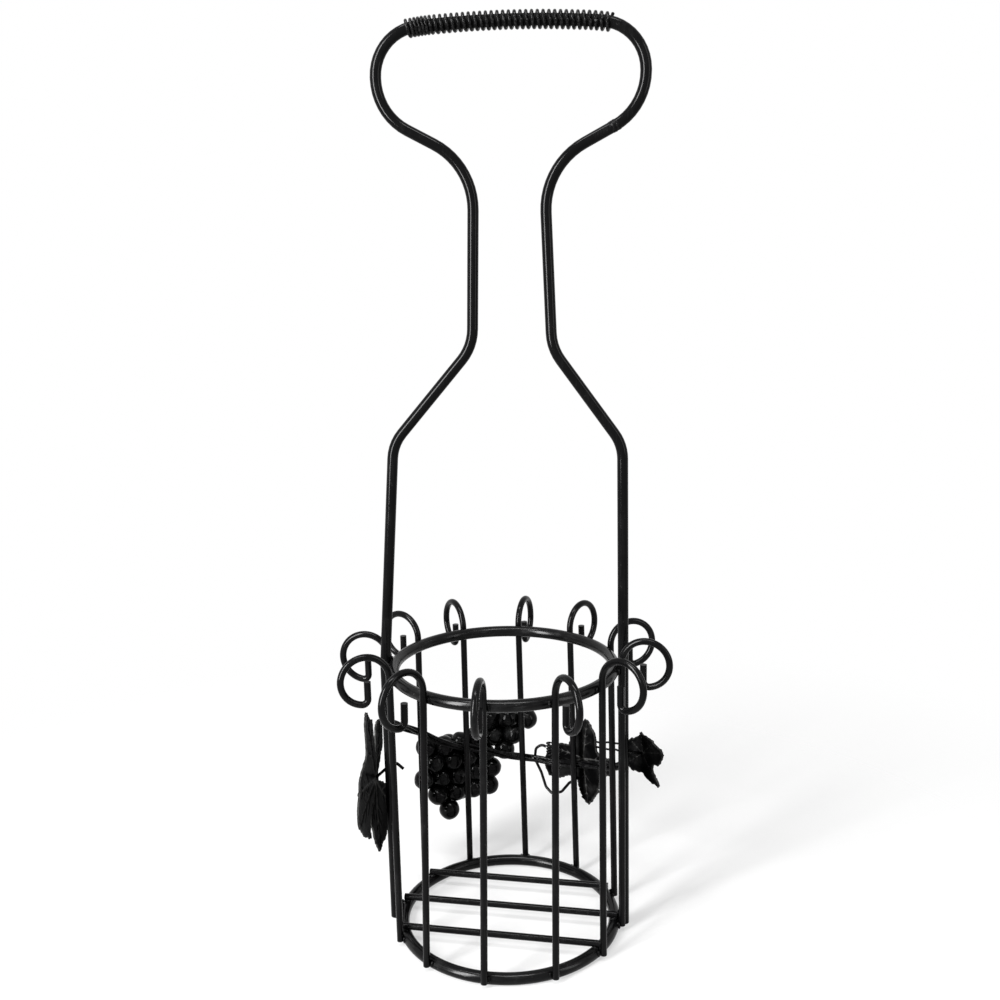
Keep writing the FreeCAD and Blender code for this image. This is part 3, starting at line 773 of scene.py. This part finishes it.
def ball_centres(node):
    """Middle of each ball of a bunch, and the balls' radius, read from the frame."""
    shape = bmesh.new()
    shape.from_mesh(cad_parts[node].data)
    bmesh.ops.remove_doubles(shape, verts=shape.verts, dist=1e-6)
    left = set(shape.verts)
    centres = []
    radius = 0
    while left:
        found = [left.pop()]
        for vertex in found:
            for edge in vertex.link_edges:
                other = edge.other_vert(vertex)
                if other in left:
                    left.remove(other)
                    found.append(other)
        low = Vector([min(vertex.co[i] for vertex in found) for i in range(3)])
        high = Vector([max(vertex.co[i] for vertex in found) for i in range(3)])
        centres.append((low + high) / 2)
        radius = max(radius, (high.z - low.z) / 2)
    shape.free()
    return sorted(centres, key=lambda place: (round(place.z, 5), round(place.x, 5), place.y)), radius


class CADDY_OT_hang_berries(bpy.types.Operator):
    """Sets a dimpled ball for every berry of the two bunches"""

    bl_idname = "caddy.hang_berries"
    bl_label = "Hang the berries"

    def execute(self, context):
        sizes = context.scene.caddy_berries
        paint = berry_paint(context.scene.caddy_paint)
        tree = scatter_tree()
        noise.seed_set(sizes.stray_seed)
        for node, name in (("grapes_large", "large_bunch"), ("grapes_small", "small_bunch")):
            centres, radius = ball_centres(node)
            middle = sum(centres, Vector()) / len(centres)
            away = Vector((middle.x, middle.y, 0)).normalized()
            centres = [centre - away * ((centre - middle).dot(away) * sizes.nestle) for centre in centres]
            centres = [centre + noise.noise_vector(centre * 350) * sizes.stray for centre in centres]
            ball = berry_shape(radius * (1 + sizes.swell), sizes.dimple)
            rows = [(centre, (middle * STALK_AIM - centre).normalized(), UP) for centre in centres]
            mesh = grown(
                seats(name + "_seats", rows), tree, Shape=ball, Uneven=sizes.uneven, Tumble=0.5,
                Seed=sizes.seed, Paint=paint,
            )
            bpy.data.objects.remove(ball)
            place_piece(name, mesh, "berry_iron", node)
        return {"FINISHED"}


def near_line(place, start, end):
    """Distance of a place from a straight run, and how far along the run it is."""
    run = end - start
    along = max(0.0, min(1.0, (place - start).dot(run) / run.length_squared))
    return (place - start - run * along).length, along


def vein_lines(root, tips):
    """Main veins to each lobe and the side veins that leave them, as start, end and width."""
    lines = []
    for tip in tips:
        run = Vector(tip) - root
        lines.append((root, root + run, MAIN_VEIN))
        for step in (0.35, 0.55, 0.75):
            base = root + run * step
            for hand in (-1, 1):
                drift = noise.noise(Vector((base.x * 9, base.y * 9, hand)))
                turn = Matrix.Rotation(hand * radians(42 + 24 * drift), 2)
                reach = (0.30 + 0.2 * drift) * (1.1 - step)
                lines.append((base, base + turn @ run * reach, SIDE_VEIN))
    return lines


def leaf_rim(outline, tooth, ragged):
    """Outline of a leaf with rounded corners and small teeth, all in shares of its length."""
    rim = [Vector(point) for point in outline]
    for cut in (0.14, 0.25, 0.25):
        ahead = rim[1:] + rim[:1]
        rim = [start.lerp(end, part) for start, end in zip(rim, ahead) for part in (cut, 1 - cut)]
    edge = []
    for start, end in zip(rim, rim[1:] + rim[:1]):
        steps = ceil((end - start).length / (tooth * 0.7))
        edge += [start.lerp(end, step / steps) for step in range(steps)]
    drift = [noise.noise_vector(Vector((place.x / tooth, place.y / tooth, 0.5))) for place in edge]
    return [place + Vector((way.x, way.y)) * ragged for place, way in zip(edge, drift)]


def within(place, rim):
    """Whether a place lies inside a closed rim."""
    hits = 0
    for start, end in zip(rim, rim[1:] + rim[:1]):
        if (start.y > place.y) != (end.y > place.y):
            hits += place.x < start.x + (end.x - start.x) * (place.y - start.y) / (end.y - start.y)
    return hits % 2 == 1


def leaf_blank(rim, step):
    """Flat triangles that fill a leaf's rim: corners with their distance from the rim, and faces."""
    nearest = KDTree(len(rim))
    for number, place in enumerate(rim):
        nearest.insert(place.to_3d(), number)
    nearest.balance()
    places = list(rim)
    low = [min(place[i] for place in rim) for i in (0, 1)]
    high = [max(place[i] for place in rim) for i in (0, 1)]
    rise = step * 0.87
    for row in range(int((high[1] - low[1]) / rise) + 1):
        for column in range(int((high[0] - low[0]) / step) + 1):
            place = Vector((low[0] + (column + row % 2 / 2) * step, low[1] + row * rise))
            if nearest.find(place.to_3d())[2] > step * 0.6:
                places.append(place)
    edges = [(number, (number + 1) % len(rim)) for number in range(len(rim))]
    found, _, faces, *_ = delaunay_2d_cdt(places, edges, [], 0, 1e-6, False)
    middles = [sum((found[corner] for corner in face), Vector((0, 0))) / 3 for face in faces]
    faces = [face for face, middle in zip(faces, middles) if within(middle, rim)]
    used = sorted({corner for face in faces for corner in face})
    renamed = {corner: number for number, corner in enumerate(used)}
    corners = [(found[corner], nearest.find(found[corner].to_3d())[2]) for corner in used]
    return corners, [tuple(renamed[corner] for corner in face) for face in faces]


def leaf_ways(leaf):
    """Way a leaf's tip points and way the leaf faces."""
    face = outward(leaf.bearing)
    tip = Matrix.Rotation(radians(leaf.swing), 3, face) @ -UP
    turn = Matrix.Rotation(radians(leaf.lean), 3, face.cross(tip))
    return turn @ tip, turn @ face


def leaf_sheet(leaf, sizes):
    """Lobed leaf pressed with veins, curled about its midrib and twisted along it."""
    length, curl = leaf.length * MM, leaf.curl * MM
    tip_way, face_way = leaf_ways(leaf)
    across_way = tip_way.cross(face_way)
    rim = leaf_rim(leaf.outline, sizes.tooth / length, sizes.ragged / length)
    corners, faces = leaf_blank(rim, LEAF_STEP)
    lines = vein_lines(Vector(leaf.veins[0]), leaf.veins[1:])
    points, ridges, rim_wear_and_glint = [], [], []
    for place, inset in corners:
        vein = 0
        for start, end, width in lines:
            away, along = near_line(place, start, end)
            vein = max(vein, exp(-(away / (width * (1.15 - 0.75 * along))) ** 2))
        x, y = place.x * length, -place.y * length
        turn = radians(leaf.twist * y / length)
        u = x
        for _ in range(6):
            sag = sqrt(curl ** 2 - u ** 2) - curl
            u = (x - sag * sin(turn)) / cos(turn)
        z = -u * sin(turn) + sag * cos(turn)
        wave = noise.noise(Vector((place.x * 6, place.y * 6, length * 40)))
        reach = min(1.0, place.length / 0.5)
        pressed = sizes.vein * (vein - 0.35 * (1 - vein) * reach)
        z += sizes.ripple * wave * reach ** 2 + pressed + sizes.sheet / 2
        points.append(leaf.weld + across_way * x + tip_way * y + face_way * z)
        ridges.append(vein)
        # Band along the rim painted lighter: rubbed wear and painted highlight
        rim_wear_and_glint.append(max(0.0, 1 - inset / WORN_AND_GLINT_RIM))
    mesh = bpy.data.meshes.new("leaf")
    mesh.from_pydata(points, [], faces)
    for name, values in (("vein", ridges), ("rim", rim_wear_and_glint)):
        mesh.attributes.new(name, "FLOAT", "POINT").data.foreach_set("value", values)
    sheet = bpy.data.objects.new("leaf", mesh)
    bpy.context.scene.collection.objects.link(sheet)
    solid = sheet.modifiers.new("thickness", "SOLIDIFY")
    solid.thickness = sizes.sheet
    solid.offset = 0
    mesh = even_faces(plain_mesh(sheet))
    mesh.set_sharp_from_angle(angle=radians(SHARP_EDGE))
    return mesh


class CADDY_OT_shape_leaves(bpy.types.Operator):
    """Presses the three vine leaves"""

    bl_idname = "caddy.shape_leaves"
    bl_label = "Shape the leaves"

    def execute(self, context):
        sizes = context.scene.caddy_leaves
        paint = leaf_paint(context.scene.caddy_paint)
        noise.seed_set(sizes.seed)
        for leaf in LEAVES:
            mesh = leaf_sheet(leaf, sizes)
            mesh.materials.append(paint)
            place_piece(leaf.name, mesh, "leaf_iron", leaf.node)
        return {"FINISHED"}


def weld_places():
    """Beads beside every bar and leg on both rings, and at the ends of the floor wires."""
    rows = []
    half = (TOP_HEIGHT - BASE_HEIGHT) / 2
    skin = RING_CIRCLE + RING_ROD / 2 - BEAD_SINK

    def beside(bearing, wire, height):
        step = degrees((wire / 2 + BEAD_GAP) / skin)
        for hand in (-1, 1):
            spot = bearing + hand * step
            rows.append((at_bearing(spot, skin, height), UP, outward(spot)))

    for bearing, lean in BARS:
        slant = degrees(half * sin(radians(lean)) / BAR_CIRCLE)
        beside(bearing - slant, BAR_WIRE, BASE_HEIGHT + BAR_BEAD_LIFT)
        beside(bearing + slant, BAR_WIRE, TOP_HEIGHT)
    for bearing in (HANDLE_BEARING, HANDLE_BEARING + 180):
        beside(bearing, HANDLE_ROD, BASE_HEIGHT + LEG_BEAD_LIFT)
        beside(bearing, HANDLE_ROD, TOP_HEIGHT)
    along, aside = outward(FLOOR_BEARING), sideways(FLOOR_BEARING)
    for offset in FLOOR_OFFSETS:
        reach = sqrt(RING_CIRCLE ** 2 - offset ** 2)
        for end in (-1, 1):
            for hand in (-FLOOR_BEAD_ASIDE, FLOOR_BEAD_ASIDE):
                place = along * (end * reach) + aside * (offset + hand)
                rows.append((Vector((place.x, place.y, FLOOR_HEIGHT - FLOOR_BEAD_DROP)) * MM, along, UP))
    return rows


def bead_shape(bead, width):
    """Short run of overlapping weld drops."""
    shape = bmesh.new()
    bmesh.ops.create_uvsphere(shape, u_segments=14, v_segments=14, radius=1.0)
    for vertex in shape.verts:
        along = vertex.co.z
        drops = 1 + 0.10 * cos(along * 3.4 * pi) + 0.12 * noise.noise(vertex.co * 2.3)
        vertex.co = Vector((vertex.co.x * width * drops, vertex.co.y * width * drops, along * bead))
    return shape_object("bead_shape", shape)


def collar_shape(rod, crown, half_length):
    """Low uneven collar of weld metal round the joint of the two handle rods."""
    sides, rows = 40, 14
    aside = WELD_WAY.cross(UP).normalized()
    above = aside.cross(WELD_WAY)
    points = []
    for row in range(rows + 1):
        along = 2 * row / rows - 1
        for side in range(sides):
            turn = 2 * pi * side / sides
            way = aside * cos(turn) + above * sin(turn)
            lump = noise.noise(way * 1.6 + WELD_WAY * (along * 2.2))
            reach = rod / 2 - BEAD_SINK * MM + crown * max(0.0, 1 - along ** 2) ** 0.7 * (0.75 + 0.7 * lump)
            points.append(WELD_PLACE + way * reach + WELD_WAY * (along * half_length * (1 + 0.25 * lump)))
    faces = [tuple(range(sides))[::-1], tuple(rows * sides + side for side in range(sides))]
    for row in range(rows):
        for side in range(sides):
            low, high = row * sides + side, row * sides + (side + 1) % sides
            faces.append((low, high, high + sides, low + sides))
    mesh = bpy.data.meshes.new("collar")
    mesh.from_pydata(points, [], faces)
    return even_faces(mesh)


class CADDY_OT_weld_joints(bpy.types.Operator):
    """Lays a weld bead on each side of every joint of the cage and a collar on the handle"""

    bl_idname = "caddy.weld_joints"
    bl_label = "Weld the joints"

    def execute(self, context):
        sizes = context.scene.caddy_welds
        bead = bead_shape(sizes.bead, sizes.width)
        mesh = grown(
            seats("weld_seats", weld_places()), scatter_tree(), Shape=bead, Uneven=0.35, Tumble=0.25,
            Seed=sizes.seed, Paint=weld_paint(context.scene.caddy_paint),
        )
        bpy.data.objects.remove(bead)
        place_piece("weld_beads", mesh, "weld_iron")
        mesh = collar_shape(context.scene.caddy_grip.rod, sizes.crown, sizes.collar)
        mesh.materials.append(weld_paint(context.scene.caddy_paint))
        place_piece("handle_collar", mesh, "weld_iron", "handle_weld")
        return {"FINISHED"}


def seen_rays(start):
    """1 for rays from the camera, off gloss or through glass, else 0."""
    camera = start.node("ShaderNodeLightPath", out="Is Camera Ray")
    total = camera + camera.other("Is Glossy Ray") + camera.other("Is Transmission Ray")
    return total.maths("MINIMUM", total, 1.0)


def pale_floor(settings):
    """Pale floor that shows white where it is lit, keeps the shadow and fades out far from the caddy."""
    paint = bpy.data.materials.new("pale_floor")
    paint.use_nodes = True
    paint.node_tree.nodes.clear()
    start = Flow(paint.node_tree)
    seen = seen_rays(start)
    place = start.node("ShaderNodeTexCoord", out="Object")
    mottle = (place.grain(9, 2) - 0.5) * 0.01
    matt = start.node("ShaderNodeBsdfDiffuse", None, {"Color": mottle.tint(flat(settings.floor), WHITE)})
    glow = start.node("ShaderNodeEmission", None, {"Color": WHITE, "Strength": seen * FLOOR_GLOW})
    lit = start.node("ShaderNodeAddShader", None, {0: matt, 1: glow})
    away = place.node("ShaderNodeVectorMath", {"operation": "LENGTH"}, {0: place}, "Value")
    clear = start.node("ShaderNodeBsdfTransparent")
    mixed = start.node("ShaderNodeMixShader", None, {0: away.between(*FLOOR_FADE), 1: lit, 2: clear})
    end = paint.node_tree.nodes.new("ShaderNodeOutputMaterial")
    paint.node_tree.links.new(mixed.socket, end.inputs["Surface"])
    return paint


def add_lamp(name, place, width, height, watts):
    """Flat lamp aimed at the middle of the caddy."""
    lamp = bpy.data.lights.new(name, "AREA")
    lamp.shape = "RECTANGLE"
    lamp.size = width
    lamp.size_y = height
    lamp.energy = watts
    holder = bpy.data.objects.new(name, lamp)
    holder.location = place
    holder.rotation_euler = (Vector(LAMP_AIM) - Vector(place)).to_track_quat("-Z", "Y").to_euler()
    bpy.context.scene.collection.objects.link(holder)


class CADDY_OT_set_stage(bpy.types.Operator):
    """Lays the floor, hangs the lamps and stands the camera"""

    bl_idname = "caddy.set_stage"
    bl_label = "Set the stage"

    def execute(self, context):
        settings = context.scene.caddy_stage
        shape = bmesh.new()
        bmesh.ops.create_circle(shape, cap_ends=True, segments=96, radius=FLOOR_RADIUS)
        floor = shape_object("floor", shape)
        floor.data.transform(Matrix.Translation((0, 0, -FLOOR_DROP)))
        floor.data.materials.append(pale_floor(settings))
        context.scene.collection.objects.link(floor)

        world = bpy.data.worlds.new("studio")
        world.use_nodes = True
        context.scene.world = world
        start = Flow(world.node_tree)
        strength = seen_rays(start) * (1 - settings.sky) + settings.sky
        sky = world.node_tree.nodes["Background"]
        sky.inputs["Color"].default_value = WHITE
        world.node_tree.links.new(strength.socket, sky.inputs["Strength"])

        for name, lamp in LAMPS.items():
            add_lamp(name, *lamp)

        view = bpy.data.cameras.new("photo_view")
        view.sensor_width = SENSOR_WIDTH
        view.lens = settings.lens
        camera = bpy.data.objects.new("photo_view", view)
        tilt = Matrix.Rotation(radians(CAMERA_TILT), 3, "X") @ Matrix.Rotation(radians(CAMERA_ROLL), 3, "Y")
        right, ahead, above = tilt.col
        turn = Matrix((right, above, -ahead)).transposed()
        camera.matrix_world = Matrix.Translation(CAMERA_PLACE) @ turn.to_4x4()
        context.scene.collection.objects.link(camera)
        context.scene.camera = camera
        context.scene.view_settings.view_transform = "Standard"
        return {"FINISHED"}


OPERATORS = (
    CADDY_OT_paint_frame, CADDY_OT_wind_grip, CADDY_OT_twist_vine, CADDY_OT_hang_berries,
    CADDY_OT_shape_leaves, CADDY_OT_weld_joints, CADDY_OT_set_stage,
)


class CADDY_PT_panel(bpy.types.Panel):
    """Steps and sizes of the caddy"""

    bl_label = "Bottle caddy"
    bl_idname = "CADDY_PT_panel"
    bl_space_type = "VIEW_3D"
    bl_region_type = "UI"
    bl_category = "Caddy"

    def draw(self, context):
        for operator in OPERATORS:
            self.layout.operator(operator.bl_idname)
        for name, group in SETTINGS.items():
            box = self.layout.box()
            for label in group.__annotations__:
                box.prop(getattr(context.scene, name), label)


CLASSES = tuple(SETTINGS.values()) + OPERATORS + (CADDY_PT_panel,)


def register():
    for item in CLASSES:
        bpy.utils.register_class(item)
    for name, group in SETTINGS.items():
        setattr(bpy.types.Scene, name, PointerProperty(type=group))


def unregister():
    for name in SETTINGS:
        delattr(bpy.types.Scene, name)
    for item in reversed(CLASSES):
        bpy.utils.unregister_class(item)


def main():
    register()
    bpy.ops.caddy.paint_frame()
    bpy.ops.caddy.wind_grip()
    bpy.ops.caddy.twist_vine()
    bpy.ops.caddy.hang_berries()
    bpy.ops.caddy.shape_leaves()
    bpy.ops.caddy.weld_joints()
    bpy.ops.caddy.set_stage()


if __name__ == "__main__":
    main()
